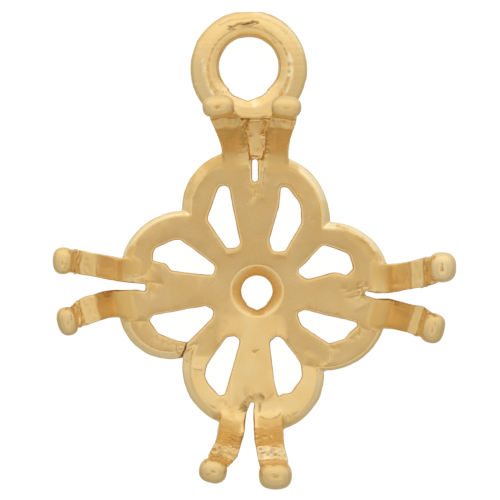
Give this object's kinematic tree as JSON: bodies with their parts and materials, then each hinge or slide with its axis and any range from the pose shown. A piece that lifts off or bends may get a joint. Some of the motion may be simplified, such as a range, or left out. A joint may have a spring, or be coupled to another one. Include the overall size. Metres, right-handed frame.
{
  "type": "pendant setting",
  "caption": "Gold pendant setting: a pierced, lobed plate whose slanting pairs of claws hold one large stone, with a round bail at the top for a jump ring or chain.",
  "frame": {"origin": "axis of the centre hole on the flat back of the plate", "axes": "+Y towards the bail, +Z out of the front, towards the stone; stored lying on its back"},
  "size_m": [0.0184, 0.0218, 0.0053],
  "materials": {
    "gold": "satin"
  },
  "bodies": {
    "root": {"setting": "gold"}
  },
  "joints": []
}
